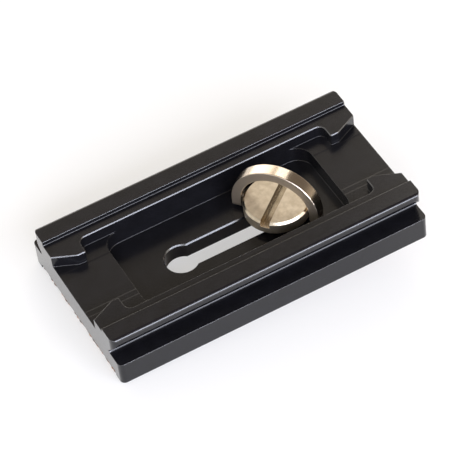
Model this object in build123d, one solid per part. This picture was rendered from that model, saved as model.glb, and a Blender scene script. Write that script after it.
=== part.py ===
from build123d import *
import os

# Tripod quick release plate: a dovetail plate with a cork-rubber pad and a captive camera screw.
# X runs along the slot, Y across the dovetail, Z up out of the dovetail side.
# The origin is the middle of the pad's face, where the camera sits.

# Plate, outside sizes
PLATE_LENGTH = 76.2
PLATE_HEIGHT = 11.9
FLANGE_HEIGHT = 5.95
FLANGE_OVERHANG = 2.05
FLANGE_CORNER = 1.2
FLANGE_EDGE = 0.1

# Dovetail rails: straight sides above a 45 degree undercut with a rounded root
DOVETAIL_WIDTH = 38.0
DOVETAIL_SIDE = 2.3
DOVETAIL_CORNER = 1.6
RAIL_WIDTH = 4.75
RAIL_EDGE = 0.8
RAIL_LOW_EDGE = 2.2
RAIL_INNER_EDGE = 0.15
ROOT_FILLET = 0.6

# Ledges inside the rails, with a hook at each end
LEDGE_WIDTH = 2.5
LEDGE_DROP = 1.1
LEDGE_FOOT = 0.25
LEDGE_EDGE = 0.2
RECESS_DEPTH = 3.05
RECESS_FOOT = 0.1
HOOK_LENGTH = 7.4
HOOK_REACH = 4.05
HOOK_FLAT = 2.0
HOOK_TAPER = 2.6
HOOK_INNER_CORNER = 1.6
HOOK_TIP_CORNER = 0.5
HOOK_OUTER_CORNER = 1.0

# Pocket and keyhole
POCKET_END = 12.5
POCKET_FLOOR = 3.85
POCKET_CORNER = 4.0
POCKET_FOOT = 0.15
SLOT_WIDTH = 6.0
SLOT_END_X = 13.0
KEYHOLE_X = -12.0
KEYHOLE_DIAMETER = 7.8
KEYHOLE_EDGE = 0.3

# Pad in its channel, with a land of bare metal round the keyhole
PAD_LIP = 3.05
PAD_THICKNESS = 1.5
PAD_PROUD = 0.4
PAD_END_INSET = 0.1
PAD_SIDE_GAP = 0.1
LAND_MARGIN = 1.5

# Camera screw, quarter inch stud
SCREW_X = 12.3
HEAD_DIAMETER = 15.2
HEAD_HEIGHT = 3.2
HEAD_LIFT = 1.5
HEAD_BEVEL = 0.5
HEAD_FOOT_EDGE = 0.2
COIN_SLOT_WIDTH = 2.2
COIN_SLOT_DEPTH = 1.5
NECK_DIAMETER = 5.0
STUD_DIAMETER = 6.35
STUD_LENGTH = 5.4
STUD_TIP = 0.7
STUD_SEAT_GAP = 0.05
SCREW_TURN = -50.5

# Half ring handle, with a pin pressed into each leg that turns in the head
RING_GAP = 0.42
RING_WIDTH = 2.3
RING_THICKNESS = 3.05
RING_EDGE = 0.2
RING_LEG = 1.25
RING_RAISE = 87.5
PIN_DIAMETER = 1.6
PIN_DEPTH_IN_HEAD = 2.0
PIN_RUNNING_GAP = 0.05
PIN_TIP_GAP = 0.2

# Washer under the head
WASHER_DIAMETER = 11.0
WASHER_THICKNESS = 0.6
WASHER_BORE_GAP = 0.08

# Cutters run this far past the faces they open, and corners are found within this distance
CUT_PAST = 5.0
NEAR = 0.01

# Levels above the pad's face
metal_bottom = PAD_PROUD
flange_top = metal_bottom + FLANGE_HEIGHT
rail_top = metal_bottom + PLATE_HEIGHT
ledge_top = rail_top - LEDGE_DROP
recess_floor = ledge_top - RECESS_DEPTH
pocket_floor = metal_bottom + POCKET_FLOOR
channel_roof = PAD_THICKNESS
head_foot = pocket_floor + HEAD_LIFT
head_top = head_foot + HEAD_HEIGHT
pivot_height = head_foot + HEAD_HEIGHT / 2
stud_top = metal_bottom - STUD_SEAT_GAP

# Half widths and lengths, each from its neighbour
half_length = PLATE_LENGTH / 2
dovetail_half = DOVETAIL_WIDTH / 2
flange_half = dovetail_half + FLANGE_OVERHANG
channel_half = dovetail_half - RAIL_WIDTH
recess_half = channel_half - LEDGE_WIDTH
hook_gap_half = recess_half - HOOK_REACH
hook_mouth_half = hook_gap_half + HOOK_TAPER
hook_face_x = half_length - HOOK_LENGTH
pocket_half_length = half_length - POCKET_END
pad_channel_half = flange_half - PAD_LIP

head_radius = HEAD_DIAMETER / 2
ring_inner = head_radius + RING_GAP
ring_outer = ring_inner + RING_WIDTH
pin_tip = head_radius - PIN_DEPTH_IN_HEAD


def prism(outline, low, high):
    """A plan outline raised between two levels."""
    return extrude(Pos(0, 0, low) * outline, high - low)


def keyhole_outline(margin):
    """The slot with its round entry, grown by a margin."""
    run = SLOT_END_X - KEYHOLE_X
    middle = (SLOT_END_X + KEYHOLE_X) / 2
    slot = Pos(middle, 0) * SlotCenterToCenter(run, SLOT_WIDTH + 2 * margin)
    return slot + Pos(KEYHOLE_X, 0) * Circle(KEYHOLE_DIAMETER / 2 + margin)


def rounded(face, places, radius):
    """A flat face with the corners at the given places, in all four quarters, rounded."""
    for x, y in places:
        found = [v for v in face.vertices() if abs(abs(v.X) - x) < NEAR and abs(abs(v.Y) - y) < NEAR]
        face = fillet(found, radius)
    return face


def level_edges(body, level, reach_x, reach_y):
    """The edges of a body that lie at one level, with their middles inside a rectangle round the origin."""
    flat = body.edges().filter_by_position(Axis.Z, level - NEAR, level + NEAR)
    return [e for e in flat if abs((e @ 0.5).X) < reach_x and abs((e @ 0.5).Y) < reach_y]


def profile():
    """Cross-section of the plate: flange, undercuts, rails and the channel between them."""
    side_low = rail_top - DOVETAIL_SIDE
    root_half = dovetail_half - (side_low - flange_top)
    right = [
        (flange_half, metal_bottom),
        (flange_half, flange_top),
        (root_half, flange_top),
        (dovetail_half, side_low),
        (dovetail_half, rail_top),
        (channel_half, rail_top),
        (channel_half, ledge_top),
    ]
    left = [(-y, z) for y, z in reversed(right)]
    face = make_face(Polyline(*right, *left, close=True))
    face = rounded(face, [(flange_half, flange_top)], FLANGE_EDGE)
    face = rounded(face, [(root_half, flange_top)], ROOT_FILLET)
    face = rounded(face, [(dovetail_half, side_low)], RAIL_LOW_EDGE)
    face = rounded(face, [(dovetail_half, rail_top)], RAIL_EDGE)
    face = rounded(face, [(channel_half, rail_top)], RAIL_INNER_EDGE)
    return rounded(face, [(channel_half, ledge_top)], LEDGE_FOOT)


def blank():
    """The profile cut to length, with its upright corners rounded."""
    bar = extrude(Plane.YZ * profile(), half_length, both=True)
    base = RectangleRounded(PLATE_LENGTH, 2 * flange_half, FLANGE_CORNER)
    rails = RectangleRounded(PLATE_LENGTH, DOVETAIL_WIDTH, DOVETAIL_CORNER)
    return bar & (prism(base, metal_bottom, flange_top) + prism(rails, metal_bottom, rail_top))


def recess_outline():
    """Plan of the recess between the ledges, narrowed by a hook at each corner and open at both ends."""
    flat_end = hook_face_x + HOOK_FLAT
    slope = HOOK_TAPER / (half_length - flat_end)
    quarter = [
        (hook_face_x, recess_half),
        (hook_face_x, hook_gap_half),
        (flat_end, hook_gap_half),
        (half_length + CUT_PAST, hook_mouth_half + slope * CUT_PAST),
    ]
    right = quarter + [(x, -y) for x, y in reversed(quarter)]
    left = [(-x, -y) for x, y in right]
    outline = make_face(Polyline(*right, *left, close=True))
    outline = rounded(outline, [(hook_face_x, recess_half)], HOOK_INNER_CORNER)
    outline = rounded(outline, [(hook_face_x, hook_gap_half)], HOOK_TIP_CORNER)
    return rounded(outline, [(flat_end, hook_gap_half)], HOOK_OUTER_CORNER)


def plate():
    """The whole machined plate."""
    over = rail_top + CUT_PAST
    under = metal_bottom - CUT_PAST
    body = blank()

    # Recess with its hooks, the ledges' bevelled edge and the small fillet at the foot of the walls
    body -= prism(recess_outline(), recess_floor, over)
    ledge_rim = level_edges(body, ledge_top, half_length - NEAR, channel_half - LEDGE_FOOT - NEAR)
    body = chamfer(ledge_rim, LEDGE_EDGE)
    body = fillet(level_edges(body, recess_floor, half_length - NEAR, flange_half), RECESS_FOOT)

    # Pocket and keyhole
    pocket = RectangleRounded(2 * pocket_half_length, 2 * recess_half, POCKET_CORNER)
    body -= prism(pocket, pocket_floor, ledge_top)
    body = fillet(level_edges(body, pocket_floor, half_length, flange_half), POCKET_FOOT)
    body -= prism(keyhole_outline(0), under, over)
    keyhole_rim = level_edges(body, pocket_floor, pocket_half_length - POCKET_CORNER, SLOT_WIDTH)
    body = chamfer(keyhole_rim, KEYHOLE_EDGE)

    # Channel for the pad, open at both ends
    channel = prism(Rectangle(PLATE_LENGTH + CUT_PAST, 2 * pad_channel_half), under, channel_roof)
    land = prism(keyhole_outline(LAND_MARGIN), under, channel_roof)
    return body - (channel - land)


def pad():
    """The cork-rubber sheet, with a window for the land round the keyhole."""
    sheet = Rectangle(PLATE_LENGTH - 2 * PAD_END_INSET, 2 * (pad_channel_half - PAD_SIDE_GAP))
    return prism(sheet - keyhole_outline(LAND_MARGIN + PAD_SIDE_GAP), 0, channel_roof)


def camera_screw():
    """The turned screw: coin-slotted head, thin neck and stud."""
    neck = NECK_DIAMETER / 2
    stud = STUD_DIAMETER / 2
    tip = stud_top - STUD_LENGTH
    section = Polyline(
        (0, tip),
        (stud - STUD_TIP, tip),
        (stud, tip + STUD_TIP),
        (stud, stud_top),
        (neck, stud_top),
        (neck, head_foot),
        (head_radius - HEAD_FOOT_EDGE, head_foot),
        (head_radius, head_foot + HEAD_FOOT_EDGE),
        (head_radius, head_top - HEAD_BEVEL),
        (head_radius - HEAD_BEVEL, head_top),
        (0, head_top),
        close=True,
    )
    screw = revolve(Plane.XZ * make_face(section), Axis.Z)
    screw -= Pos(0, 0, head_top) * Box(COIN_SLOT_WIDTH, HEAD_DIAMETER + CUT_PAST, 2 * COIN_SLOT_DEPTH)
    hole = PIN_DIAMETER / 2 + PIN_RUNNING_GAP
    for sign in (-1, 1):
        screw -= pin_along(sign, hole, pin_tip - PIN_TIP_GAP, head_radius + CUT_PAST)
    return screw


def pin_along(sign, radius, start, end):
    """A round bar on the ring's pivot line, between two distances from the screw's axis."""
    middle = sign * (start + end) / 2
    return Pos(middle, 0, pivot_height) * Rot(0, 90, 0) * Cylinder(radius, end - start)


def ring_handle():
    """The half ring, standing up on its pivot line, with round-ended legs that reach below the pins."""
    half = RING_THICKNESS / 2
    leg_middles = [sign * (ring_inner + ring_outer) / 2 for sign in (-1, 1)]
    arch = Circle(ring_outer) - Circle(ring_inner)
    arch &= Pos(0, ring_outer) * Rectangle(2 * ring_outer, 2 * ring_outer)
    for middle in leg_middles:
        arch += Pos(middle, -RING_LEG / 2) * Rectangle(RING_WIDTH, RING_LEG)
    ring = prism(arch, -half, half)
    flat_edges = ring.edges().filter_by(GeomType.CIRCLE) + ring.edges().filter_by(Axis.Y)
    ring = fillet(flat_edges, RING_EDGE)
    leg_end = Cylinder(half, RING_WIDTH)
    leg_end = Rot(0, 90, 0) * fillet(leg_end.edges().filter_by(GeomType.CIRCLE), RING_EDGE)
    for middle in leg_middles:
        ring += Pos(middle, -RING_LEG, 0) * leg_end
    ring = Pos(0, 0, pivot_height) * Rot(RING_RAISE, 0, 0) * ring
    for sign in (-1, 1):
        ring -= pin_along(sign, PIN_DIAMETER / 2, pin_tip, ring_outer + CUT_PAST)
    return ring


def pivot_pin(sign):
    """One pin, pressed into a leg of the ring and flush with its outside."""
    return pin_along(sign, PIN_DIAMETER / 2, pin_tip, ring_outer)


def neck_washer():
    """The thin washer lying on the pocket floor round the neck."""
    ring = Circle(WASHER_DIAMETER / 2) - Circle(NECK_DIAMETER / 2 + WASHER_BORE_GAP)
    return prism(ring, pocket_floor, pocket_floor + WASHER_THICKNESS)


on_screw = Pos(SCREW_X, 0, 0) * Rot(0, 0, SCREW_TURN)
nodes = {
    "plate": plate(),
    "pad": pad(),
    "neck_washer": on_screw * neck_washer(),
    "camera_screw": on_screw * camera_screw(),
    "ring_handle": on_screw * ring_handle(),
    "pivot_pin_1": on_screw * pivot_pin(-1),
    "pivot_pin_2": on_screw * pivot_pin(1),
}

os.makedirs("parts", exist_ok=True)
for name, shape in nodes.items():
    export_step(shape, f"parts/{name}.step")
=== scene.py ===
import math

import bpy
from mathutils import Matrix, Vector


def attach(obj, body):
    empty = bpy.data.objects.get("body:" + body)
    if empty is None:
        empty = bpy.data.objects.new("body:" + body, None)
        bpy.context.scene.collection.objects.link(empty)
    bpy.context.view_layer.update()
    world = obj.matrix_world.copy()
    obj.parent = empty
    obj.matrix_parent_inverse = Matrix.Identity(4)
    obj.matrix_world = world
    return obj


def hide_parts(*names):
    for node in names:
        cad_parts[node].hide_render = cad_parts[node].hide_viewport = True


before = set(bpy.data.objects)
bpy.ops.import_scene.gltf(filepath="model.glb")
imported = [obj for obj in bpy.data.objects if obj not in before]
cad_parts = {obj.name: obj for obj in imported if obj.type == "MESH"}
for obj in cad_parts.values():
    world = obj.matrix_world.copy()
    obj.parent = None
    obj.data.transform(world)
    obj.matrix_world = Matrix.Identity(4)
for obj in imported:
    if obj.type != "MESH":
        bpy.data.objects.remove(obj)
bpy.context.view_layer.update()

MM = 0.001
BLACK = (0, 0, 0, 1)
WHITE = (1, 1, 1, 1)

# Sizes repeated from the part's source, in millimetres
PAD_HALF_LENGTH = 38.0
SCREW_X = 12.3
RECESS_FLOOR = 8.15
HEAD_TOP = 8.95
HEAD_RADIUS = 7.6
STUD_TOP = 0.35
STUD_TIP_Z = -5.05
STUD_TIP_EDGE = 0.7
STUD_RADIUS = 3.175
NECK_RADIUS = 2.5
SCREW_TURN = math.radians(-50.5)
RING_RAISE = math.radians(87.5)

# The way the ring's flat sides face, at rest
RING_AXIS = Matrix.Rotation(SCREW_TURN, 3, "Z") @ Matrix.Rotation(RING_RAISE, 3, "X") @ Vector((0, 0, 1))

# How far edges are rounded in shading, in millimetres
EDGE_ROUND = 0.1

# How strongly the anodised plate mirrors: on its faces, in its hollow fillets and on its burnished edges
FACE_IOR = 1.27
FILLET_IOR = 1.5
EDGE_IOR = 2.15

# The plate's rounded places, told by the normal's Z from walls, near 0, and from level faces, near 1
ROUNDED_STOPS = ((0.02, BLACK), (0.25, WHITE), (0.88, WHITE), (0.96, BLACK))

# How far the metal behind the skin is felt for, in millimetres, and the share found at edges and fillets
EDGE_REACH = 0.8
EDGE_SHARE = 0.75
FILLET_SHARE = 0.95

# The fine steps between the cutter's passes on the recess floor, whose middle pass is the deepest:
# where each step runs across the plate, and the heights before and after it as shares of the full depth
CUTTER_STEPS = ((-6.7, 0.6, 0.3), (-5.2, 0.3, 0.0), (7.15, 0.0, 1.0))
CUTTER_STEP_HALF = 0.12
CUTTER_STEP_DEPTH = 0.06
CUTTER_REACH = 10.0
FLOOR_SLACK = 0.05

# Roughness of the metal: blasted or turned, in the screw's slot and bevel, round the ring, on its sides
BLASTED = 0.5
SCREW_SMOOTH = 0.16
RING_POLISHED = 0.2
RING_SATIN = 0.46

# How far inside the screw head's side and under its face the rough finish starts and is full, in millimetres
HEAD_SIDE_DEPTHS = (0.04, 0.02)
HEAD_FACE_DEPTHS = (0.06, 0.02)

# How squarely the ring's surface faces along its axis where the satin of its flat sides starts and is full
RING_SIDE_FACING = (0.6, 0.95)

# Quarter inch thread, 20 turns to the inch
THREAD_PITCH = 1.27
THREAD_DEPTH = 0.66
THREAD_CREST = 0.18
THREAD_AROUND = 72
THREAD_ALONG = 110

# How near a vertex has to be to the stud's top and to the neck to count as theirs, in millimetres
TOP_SLACK = 0.02
NECK_SLACK = 0.05

# Vertices this near are joined, in millimetres, and faces that meet flatter than this angle shade as one
JOIN_CAD = 0.0005
JOIN_STUD = 0.001
SMOOTH_ANGLE = math.radians(30)

# The pad's crumbs, in millimetres, and the height in their pattern that stays level with the sheet
PAD_VOXEL = 0.3
CRUMB_SIZE = 1.2
CRUMB_HEIGHT = 0.4
CRUMB_LEVEL = 0.23

# How far the table's own white is mixed in where the camera or a reflection sees it
WHITE_SHARE = 0.5

# Half sizes of the paper in the plate's shade, where reflections don't get that white
PLATE_SHADE = (38 * MM, 21 * MM, 1.0)

TABLE_SIZE = 4.0

# The room: the way to the middle of its brown ceiling, and its colours from the white walls up to there
CEILING = (0.66, -0.12, 0.74)
ROOM_COLOURS = ((0.25, "#f8f4ee"), (0.64, "#c4b7a4"), (0.86, "#746a60"))

# The camera, from the straight edges in the photo: its place and lens in millimetres, and two of its axes
EYE = Vector((-153.129, -364.039, 454.226))
BACKWARD = Vector((-0.25668, -0.60931, 0.75024))
RIGHTWARD = Vector((0.8723, -0.4802, -0.0919))
LENS = 212.97
SENSOR = 36.0


def linear(code):
    """An sRGB hex colour as the linear colour that shaders take."""
    parts = [int(code[i:i + 2], 16) / 255 for i in (1, 3, 5)]
    return tuple(p / 12.92 if p <= 0.04045 else ((p + 0.055) / 1.055) ** 2.4 for p in parts) + (1.0,)


def add(tree, kind, sockets=None, **settings):
    """Adds a node, sets its settings, and fills its inputs with values or with other nodes' outputs."""
    node = tree.nodes.new(kind)
    for name, value in settings.items():
        setattr(node, name, value)
    for name, value in (sockets or {}).items():
        if isinstance(value, bpy.types.NodeSocket):
            tree.links.new(value, node.inputs[name])
        else:
            node.inputs[name].default_value = value
    return node


def new_material(name):
    """An empty node material, its tree and its output node."""
    material = bpy.data.materials.new(name)
    material.use_nodes = True
    material.node_tree.nodes.clear()
    output = add(material.node_tree, "ShaderNodeOutputMaterial")
    return material, material.node_tree, output


def set_ramp(ramp, stops):
    """Gives a colour ramp its stops, as (place, colour) pairs."""
    elements = ramp.color_ramp.elements
    while len(elements) < len(stops):
        elements.new(0.5)
    for element, (place, colour) in zip(elements, stops):
        element.position = place
        element.color = colour


def per_metre(size_mm):
    """The scale that makes a pattern's cell this many millimetres wide."""
    return 1 / (size_mm * MM)


def edge_polish(tree, normal):
    """How strongly the anodised skin mirrors, as an IOR: least on faces and most on burnished edges."""
    own = add(tree, "ShaderNodeVectorTransform", {"Vector": normal},
              vector_type="NORMAL", convert_from="WORLD", convert_to="OBJECT")
    facing = add(tree, "ShaderNodeSeparateXYZ", {"Vector": own.outputs["Vector"]})
    level = add(tree, "ShaderNodeMath", {0: facing.outputs["Z"]}, operation="ABSOLUTE")
    rounded = add(tree, "ShaderNodeValToRGB", {"Fac": level.outputs["Value"]})
    set_ramp(rounded, ROUNDED_STOPS)
    inward = add(tree, "ShaderNodeAmbientOcclusion", {"Distance": EDGE_REACH * MM},
                 inside=True, only_local=True, samples=8)
    polish = add(tree, "ShaderNodeMapRange", {
        "Value": inward.outputs["AO"],
        "From Min": EDGE_SHARE,
        "From Max": FILLET_SHARE,
        "To Min": EDGE_IOR,
        "To Max": FILLET_IOR,
    })
    shine = add(tree, "ShaderNodeMapRange", {
        "Value": rounded.outputs["Color"], "To Min": FACE_IOR, "To Max": polish.outputs["Result"]})
    return shine.outputs["Result"]


def cutter_marks(tree, place, normal):
    """A normal with the fine steps on the recess floor where two passes of the cutter meet."""
    spot = add(tree, "ShaderNodeSeparateXYZ", {"Vector": place})
    across = add(tree, "ShaderNodeMapRange", {
        "Value": spot.outputs["Y"], "From Min": -CUTTER_REACH * MM, "From Max": CUTTER_REACH * MM})
    steps = add(tree, "ShaderNodeValToRGB", {"Fac": across.outputs["Result"]})
    stops = []
    for line, before, after in CUTTER_STEPS:
        for away, top in ((-CUTTER_STEP_HALF, before), (CUTTER_STEP_HALF, after)):
            stops.append(((line + away) / (2 * CUTTER_REACH) + 0.5, (top, top, top, 1.0)))
    set_ramp(steps, stops)
    on_floor = add(tree, "ShaderNodeMath", {
        0: spot.outputs["Z"], 1: RECESS_FLOOR * MM, 2: FLOOR_SLACK * MM}, operation="COMPARE")
    cut = add(tree, "ShaderNodeBump", {
        "Height": steps.outputs["Color"],
        "Strength": on_floor.outputs["Value"],
        "Distance": CUTTER_STEP_DEPTH * MM,
        "Normal": normal,
    })
    return cut.outputs["Normal"]


def anodised_aluminium():
    """Black anodised aluminium, tumbled before dyeing: a near-black oxide under a clear sealed skin,
    with rounded edges that the tumbling has burnished.
    To the eye: black faces that mirror the white surroundings softly, with bright lines on the edges."""
    material, tree, output = new_material("black_anodised_aluminium")
    place = add(tree, "ShaderNodeTexCoord").outputs["Object"]
    edges = add(tree, "ShaderNodeBevel", {"Radius": EDGE_ROUND * MM}, samples=8)
    cut = cutter_marks(tree, place, edges.outputs["Normal"])
    mottle = add(tree, "ShaderNodeTexNoise", {"Vector": place, "Scale": per_metre(3.0), "Detail": 4.0})
    grain = add(tree, "ShaderNodeTexNoise", {"Vector": place, "Scale": per_metre(0.12), "Detail": 2.0})
    tint = add(tree, "ShaderNodeValToRGB", {"Fac": mottle.outputs["Fac"]})
    set_ramp(tint, [(0.3, linear("#101013")), (0.7, linear("#151519"))])
    gloss = add(tree, "ShaderNodeMapRange", {"Value": mottle.outputs["Fac"], "To Min": 0.18, "To Max": 0.24})
    bump = add(tree, "ShaderNodeBump", {
        "Height": grain.outputs["Fac"],
        "Strength": 0.1,
        "Distance": 0.02 * MM,
        "Normal": cut,
    })
    shader = add(tree, "ShaderNodeBsdfPrincipled", {
        "Base Color": tint.outputs["Color"],
        "Roughness": gloss.outputs["Result"],
        "IOR": edge_polish(tree, edges.outputs["Normal"]),
        "Normal": bump.outputs["Normal"],
        "Coat Weight": 1.0,
        "Coat Roughness": 0.18,
        "Coat IOR": FACE_IOR,
        "Coat Normal": cut,
    })
    tree.links.new(shader.outputs["BSDF"], output.inputs["Surface"])
    return material


def metal_grain(tree, place):
    """The fine grain of turned and plated metal, as a height."""
    grain = add(tree, "ShaderNodeTexNoise", {"Vector": place, "Scale": per_metre(0.3), "Detail": 4.0})
    return grain.outputs["Fac"]


def turned_metal(tree, output, height, colour, roughness):
    """Joins up a turned metal: fine relief over softened edges, with its colour and its roughness."""
    edges = add(tree, "ShaderNodeBevel", {"Radius": EDGE_ROUND * MM}, samples=6)
    bump = add(tree, "ShaderNodeBump", {
        "Height": height,
        "Strength": 0.2,
        "Distance": 0.03 * MM,
        "Normal": edges.outputs["Normal"],
    })
    shader = add(tree, "ShaderNodeBsdfPrincipled", {
        "Base Color": colour,
        "Metallic": 1.0,
        "Roughness": roughness,
        "Normal": bump.outputs["Normal"],
    })
    tree.links.new(shader.outputs["BSDF"], output.inputs["Surface"])


def screw_nickel():
    """Satin nickel on turned steel: blasted on the head's face, smooth in the coin slot and on the bevel.
    To the eye: a pale, warm, mottled disc with a bright bevel, cut by a slot with a dark wall."""
    material, tree, output = new_material("satin_nickel_screw")
    place = add(tree, "ShaderNodeTexCoord").outputs["Object"]
    cloud = add(tree, "ShaderNodeTexNoise", {"Vector": place, "Scale": per_metre(1.2), "Detail": 5.0})
    tint = add(tree, "ShaderNodeValToRGB", {"Fac": cloud.outputs["Fac"]})
    set_ramp(tint, [(0.35, linear("#c0b4a0")), (0.65, linear("#d3c8b6"))])
    level = add(tree, "ShaderNodeSeparateXYZ", {"Vector": place})
    across = add(tree, "ShaderNodeVectorMath", {0: place, 1: (1, 1, 0)}, operation="MULTIPLY")
    away = add(tree, "ShaderNodeVectorMath", {
        0: across.outputs["Vector"], 1: (SCREW_X * MM, 0, 0)}, operation="DISTANCE")
    turned = add(tree, "ShaderNodeMapRange", {
        "Value": away.outputs["Value"],
        "From Min": (HEAD_RADIUS - HEAD_SIDE_DEPTHS[0]) * MM,
        "From Max": (HEAD_RADIUS - HEAD_SIDE_DEPTHS[1]) * MM,
        "To Min": SCREW_SMOOTH,
        "To Max": BLASTED,
    })
    gloss = add(tree, "ShaderNodeMapRange", {
        "Value": level.outputs["Z"],
        "From Min": (HEAD_TOP - HEAD_FACE_DEPTHS[0]) * MM,
        "From Max": (HEAD_TOP - HEAD_FACE_DEPTHS[1]) * MM,
        "To Min": turned.outputs["Result"],
        "To Max": BLASTED,
    })
    turned_metal(tree, output, metal_grain(tree, place), tint.outputs["Color"], gloss.outputs["Result"])
    return material


def ring_nickel():
    """Satin nickel on turned steel: polished round the outside, where the lathe's lines run along the arc.
    To the eye: a white reflection along the top of the arc, and duller brownish flat sides."""
    material, tree, output = new_material("satin_nickel_ring")
    place = add(tree, "ShaderNodeTexCoord")
    facing = add(tree, "ShaderNodeVectorMath", {
        0: place.outputs["Normal"], 1: RING_AXIS}, operation="DOT_PRODUCT")
    side = add(tree, "ShaderNodeMath", {0: facing.outputs["Value"]}, operation="ABSOLUTE")
    gloss = add(tree, "ShaderNodeMapRange", {
        "Value": side.outputs["Value"],
        "From Min": RING_SIDE_FACING[0],
        "From Max": RING_SIDE_FACING[1],
        "To Min": RING_POLISHED,
        "To Max": RING_SATIN,
    })
    across = add(tree, "ShaderNodeVectorMath", {
        0: place.outputs["Object"], 1: RING_AXIS}, operation="DOT_PRODUCT")
    lines = add(tree, "ShaderNodeTexNoise", {
        "W": across.outputs["Value"], "Scale": per_metre(0.25), "Detail": 2.0}, noise_dimensions="1D")
    turned_metal(tree, output, lines.outputs["Fac"], linear("#d6c8b6"), gloss.outputs["Result"])
    return material


def shaded_pin_steel():
    """Plain turned steel, coloured much darker than steel's own colour as painted shade for the narrow gap
    between the screw head and the ring. To the eye: dull grey-brown pin ends in the ring's legs.
    """
    material, tree, output = new_material("turned_pin_steel_painted_shade")
    place = add(tree, "ShaderNodeTexCoord").outputs["Object"]
    # Painted shade: this dark grey-brown stands for the shade in the gap between head and ring, not for the
    # steel's own colour
    turned_metal(tree, output, metal_grain(tree, place), linear("#5e574e"), BLASTED)
    return material


def cork_rubber():
    """Bonded cork and rubber crumb: tan cork grains in black and brown rubber.
    To the eye: a matte speckled sheet with grains a little under a millimetre across."""
    material, tree, output = new_material("cork_rubber")
    place = add(tree, "ShaderNodeTexCoord").outputs["Object"]
    crumbs = add(tree, "ShaderNodeTexVoronoi", {"Vector": place, "Scale": per_metre(0.7)})
    pick = add(tree, "ShaderNodeSeparateColor", {"Color": crumbs.outputs["Color"]})
    tint = add(tree, "ShaderNodeValToRGB", {"Fac": pick.outputs["Red"]})
    set_ramp(tint, [
        (0.0, linear("#1a120d")),
        (0.45, linear("#3a2417")),
        (0.7, linear("#7d4e2b")),
        (1.0, linear("#b27a42")),
    ])
    bump = add(tree, "ShaderNodeBump", {
        "Height": crumbs.outputs["Distance"], "Strength": 0.5, "Distance": 0.1 * MM})
    shader = add(tree, "ShaderNodeBsdfPrincipled", {
        "Base Color": tint.outputs["Color"],
        "Roughness": 0.85,
        "IOR": 1.5,
        "Specular IOR Level": 0.1,
        "Normal": bump.outputs["Normal"],
    })
    tree.links.new(shader.outputs["BSDF"], output.inputs["Surface"])
    return material


def white_nylon():
    """Natural nylon, moulded. To the eye: an off-white plastic with a dull shine."""
    material, tree, output = new_material("white_nylon")
    place = add(tree, "ShaderNodeTexCoord").outputs["Object"]
    cloud = add(tree, "ShaderNodeTexNoise", {"Vector": place, "Scale": per_metre(1.5)})
    gloss = add(tree, "ShaderNodeMapRange", {"Value": cloud.outputs["Fac"], "To Min": 0.4, "To Max": 0.55})
    shader = add(tree, "ShaderNodeBsdfPrincipled", {
        "Base Color": linear("#dcd8cc"),
        "Roughness": gloss.outputs["Result"],
        "IOR": 1.53,
    })
    tree.links.new(shader.outputs["BSDF"], output.inputs["Surface"])
    return material


def white_table():
    """White paper sweep. To the eye: close to pure white, and it still takes the plate's soft shadow."""
    material, tree, output = new_material("white_table")
    path = add(tree, "ShaderNodeLightPath")
    place = add(tree, "ShaderNodeTexCoord").outputs["Object"]
    across = add(tree, "ShaderNodeVectorMath", {0: place, 1: PLATE_SHADE}, operation="DIVIDE")
    away = add(tree, "ShaderNodeVectorMath", {0: across.outputs["Vector"]}, operation="LENGTH")
    open_paper = add(tree, "ShaderNodeMath", {0: away.outputs["Value"], 1: 1.0}, operation="GREATER_THAN")
    mirrored = add(tree, "ShaderNodeMath", {
        0: path.outputs["Is Glossy Ray"], 1: open_paper.outputs["Value"]}, operation="MULTIPLY")
    straight = add(tree, "ShaderNodeMath", {
        0: path.outputs["Is Camera Ray"], 1: path.outputs["Is Transmission Ray"]})
    seen = add(tree, "ShaderNodeMath", {0: straight.outputs["Value"], 1: mirrored.outputs["Value"]})
    share = add(tree, "ShaderNodeMath", {0: seen.outputs["Value"], 1: WHITE_SHARE}, operation="MULTIPLY")
    paper = add(tree, "ShaderNodeBsdfDiffuse", {"Color": linear("#f7f7f7")})
    glow = add(tree, "ShaderNodeEmission", {"Color": WHITE, "Strength": 1.0})
    both = add(tree, "ShaderNodeMixShader", {
        "Fac": share.outputs["Value"], 1: paper.outputs["BSDF"], 2: glow.outputs["Emission"]})
    tree.links.new(both.outputs["Shader"], output.inputs["Surface"])
    return material


def only(piece):
    """Makes one object the selected and active one."""
    bpy.ops.object.select_all(action="DESELECT")
    piece.select_set(True)
    bpy.context.view_layer.objects.active = piece


def fill_open_edges():
    """Closes the holes of the mesh that is being edited."""
    bpy.ops.mesh.select_all(action="DESELECT")
    bpy.ops.mesh.select_mode(type="EDGE")
    bpy.ops.mesh.select_non_manifold()
    bpy.ops.mesh.fill_holes(sides=0)


def merged_copy(node, name):
    """A copy of a CAD node's mesh with its loose triangles joined up and its stored normals cleared."""
    piece = bpy.data.objects.new(name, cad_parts[node].data.copy())
    bpy.context.scene.collection.objects.link(piece)
    only(piece)
    bpy.ops.object.mode_set(mode="EDIT")
    bpy.ops.mesh.select_all(action="SELECT")
    bpy.ops.mesh.customdata_custom_splitnormals_clear()
    bpy.ops.mesh.remove_doubles(threshold=JOIN_CAD * MM)
    bpy.ops.object.mode_set(mode="OBJECT")
    return piece


def shade_by_area(piece):
    """Shades round faces smooth, with the large flat faces kept flat."""
    only(piece)
    bpy.ops.object.shade_smooth_by_angle(angle=SMOOTH_ANGLE)
    even = piece.modifiers.new("even_shading", "WEIGHTED_NORMAL")
    even.keep_sharp = True
    bpy.ops.object.modifier_apply(modifier=even.name)


def dress_node(node, material):
    """Gives a CAD node's own object a material in place of its plain one."""
    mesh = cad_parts[node].data
    mesh.materials.clear()
    mesh.materials.append(material)


def finish_piece(piece, material, slot, body, *nodes):
    """Gives a piece its material and the body that carries it, and hides the CAD nodes that it stands for.
    The slot is not used.
    """
    piece.data.materials.clear()
    piece.data.materials.append(material)
    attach(piece, body)
    if nodes:
        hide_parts(*nodes)


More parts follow.
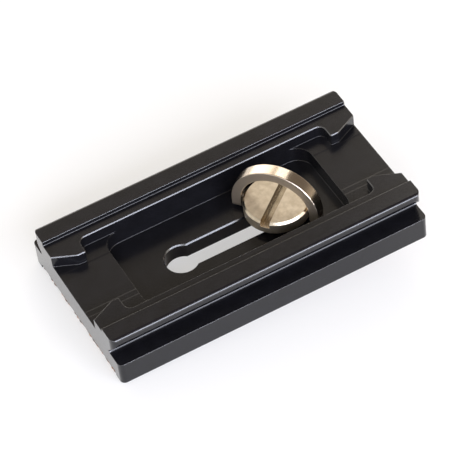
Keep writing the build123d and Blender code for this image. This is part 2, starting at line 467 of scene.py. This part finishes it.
def stud_radius(height, turn):
    """The threaded stud's radius at a height and an angle, in millimetres."""
    place = ((height - STUD_TOP) / THREAD_PITCH - turn / math.tau) % 1.0
    flank = abs(2 * place - 1)
    groove = min(1.0, max(0.0, flank - THREAD_CREST) / (1 - 2 * THREAD_CREST))
    thread = STUD_RADIUS - THREAD_DEPTH * groove
    tip = STUD_RADIUS - STUD_TIP_EDGE + (height - STUD_TIP_Z)
    top = NECK_RADIUS + (STUD_TOP - height)
    return min(thread, tip, top)


def threaded_stud():
    """The stud below the neck: a grid rolled up with its radius following the thread, closed at both ends."""
    bpy.ops.object.select_all(action="DESELECT")
    bpy.ops.mesh.primitive_grid_add(x_subdivisions=THREAD_AROUND, y_subdivisions=THREAD_ALONG, size=1)
    stud = bpy.context.object
    stud.name = "stud_thread"
    height = STUD_TOP - STUD_TIP_Z
    for vertex in stud.data.vertices:
        turn = (vertex.co.x + 0.5) * math.tau
        level = STUD_TIP_Z + (vertex.co.y + 0.5) * height
        across = Vector((math.cos(turn), math.sin(turn), 0)) * stud_radius(level, turn)
        vertex.co = (across + Vector((SCREW_X, 0, level))) * MM
    bpy.ops.object.mode_set(mode="EDIT")
    bpy.ops.mesh.select_all(action="SELECT")
    bpy.ops.mesh.remove_doubles(threshold=JOIN_STUD * MM)
    fill_open_edges()
    bpy.ops.mesh.select_all(action="SELECT")
    bpy.ops.mesh.normals_make_consistent(inside=False)
    bpy.ops.object.mode_set(mode="OBJECT")
    return stud


def screw_with_thread():
    """The screw's head and neck from the CAD solid, with the threaded stud in place of its plain one."""
    head = merged_copy("camera_screw", "camera_screw_threaded")
    bpy.ops.object.mode_set(mode="EDIT")
    bpy.ops.mesh.select_all(action="DESELECT")
    bpy.ops.object.mode_set(mode="OBJECT")
    for vertex in head.data.vertices:
        away = math.hypot(vertex.co.x / MM - SCREW_X, vertex.co.y / MM)
        above_top = vertex.co.z / MM - STUD_TOP
        on_shoulder = above_top < TOP_SLACK and away > NECK_RADIUS + NECK_SLACK
        vertex.select = on_shoulder or above_top < -TOP_SLACK
    bpy.ops.object.mode_set(mode="EDIT")
    bpy.ops.mesh.select_mode(type="VERT")
    bpy.ops.mesh.delete(type="VERT")
    fill_open_edges()
    bpy.ops.object.mode_set(mode="OBJECT")
    stud = threaded_stud()
    only(head)
    stud.select_set(True)
    bpy.ops.object.join()
    shade_by_area(head)
    return head


def crumb_pad():
    """The pad's sheet with its crumbs standing out of the face and the cut ends.
    The pattern is lowest in the middle of a crumb, so it is taken upside down."""
    pad = merged_copy("pad", "pad_crumbs")
    remesh = pad.modifiers.new("even_faces", "REMESH")
    remesh.mode = "VOXEL"
    remesh.voxel_size = PAD_VOXEL * MM
    bpy.ops.object.modifier_apply(modifier=remesh.name)
    crumbs = bpy.data.textures.new("crumbs", "VORONOI")
    crumbs.noise_scale = CRUMB_SIZE * MM
    lumps = pad.modifiers.new("crumbs", "DISPLACE")
    lumps.texture = crumbs
    lumps.texture_coords = "LOCAL"
    lumps.mid_level = CRUMB_LEVEL
    lumps.strength = -CRUMB_HEIGHT * MM
    bpy.ops.object.modifier_apply(modifier=lumps.name)
    bpy.ops.object.shade_smooth()
    return pad


def sloping_table():
    """The table under the plate, which lies on its left edge and the tip of the stud, dovetail up.
    It slopes in the plate's frame."""
    tip_edge_x = SCREW_X - (STUD_RADIUS - STUD_TIP_EDGE)
    slope = math.atan2(-STUD_TIP_Z, tip_edge_x + PAD_HALF_LENGTH)
    bpy.ops.object.select_all(action="DESELECT")
    bpy.ops.mesh.primitive_plane_add(size=TABLE_SIZE)
    table = bpy.context.object
    table.name = "table"
    left_edge = Matrix.Translation((-PAD_HALF_LENGTH * MM, 0, 0))
    table.data.transform(left_edge @ Matrix.Rotation(slope, 4, "Y"))
    table.data.materials.append(white_table())
    return table


def softbox(name, toward, width, tall, power, colour):
    """A rectangular area lamp that looks at the plate from a direction, a metre away."""
    lamp = bpy.data.lights.new(name, "AREA")
    lamp.shape = "RECTANGLE"
    lamp.size = width
    lamp.size_y = tall
    lamp.energy = power
    lamp.color = linear(colour)[:3]
    holder = bpy.data.objects.new(name, lamp)
    bpy.context.scene.collection.objects.link(holder)
    direction = Vector(toward).normalized()
    holder.location = direction
    holder.rotation_euler = direction.to_track_quat("Z", "Y").to_euler()


def white_room():
    """The world: white walls all round, and a brown ceiling that leans to the right."""
    world = bpy.data.worlds.new("studio")
    bpy.context.scene.world = world
    world.use_nodes = True
    tree = world.node_tree
    tree.nodes.clear()
    toward = add(tree, "ShaderNodeTexCoord")
    height = add(tree, "ShaderNodeVectorMath", {
        0: toward.outputs["Generated"], 1: CEILING}, operation="DOT_PRODUCT")
    walls = add(tree, "ShaderNodeValToRGB", {"Fac": height.outputs["Value"]})
    set_ramp(walls, [(place, linear(code)) for place, code in ROOM_COLOURS])
    room = add(tree, "ShaderNodeBackground", {"Color": walls.outputs["Color"], "Strength": 1.0})
    add(tree, "ShaderNodeOutputWorld", {"Surface": room.outputs["Background"]})


def photo_camera():
    """The camera where the photo was taken from."""
    lens = bpy.data.cameras.new("photo_camera")
    lens.lens = LENS
    lens.sensor_width = SENSOR
    lens.clip_start = 0.01
    lens.clip_end = 20.0
    camera = bpy.data.objects.new("photo_camera", lens)
    bpy.context.scene.collection.objects.link(camera)
    back = BACKWARD.normalized()
    right = (RIGHTWARD - back * RIGHTWARD.dot(back)).normalized()
    up = back.cross(right)
    stand = Matrix((right, up, back)).transposed().to_4x4()
    camera.matrix_world = Matrix.Translation(EYE * MM) @ stand
    return camera


dress_node("plate", anodised_aluminium())
dress_node("ring_handle", ring_nickel())
# The pins' material carries painted shade for the gap between the screw head and the ring
SHADED_PIN_STEEL = shaded_pin_steel()
dress_node("pivot_pin_1", SHADED_PIN_STEEL)
dress_node("pivot_pin_2", SHADED_PIN_STEEL)
dress_node("neck_washer", white_nylon())
finish_piece(crumb_pad(), cork_rubber(), "cork_rubber", "plate_body", "pad")
finish_piece(screw_with_thread(), screw_nickel(), "nickel_plated_steel", "screw_body", "camera_screw")

table = sloping_table()

softbox("front_softbox", (-0.05, -0.85, 0.5), 1.4, 0.5, 16.0, "#e6ecff")
softbox("right_softbox", (0.66, -0.56, 0.49), 0.5, 0.5, 1.6, "#fff8ee")
softbox("back_softbox", (0.36, 0.84, 0.38), 1.2, 0.7, 4.7, "#fff6ea")
softbox("ring_strip", (0.5, 0.43, 0.75), 0.38, 0.14, 0.5, "#fffaf2")
white_room()

bpy.context.scene.camera = photo_camera()
bpy.context.scene.view_settings.view_transform = "Standard"
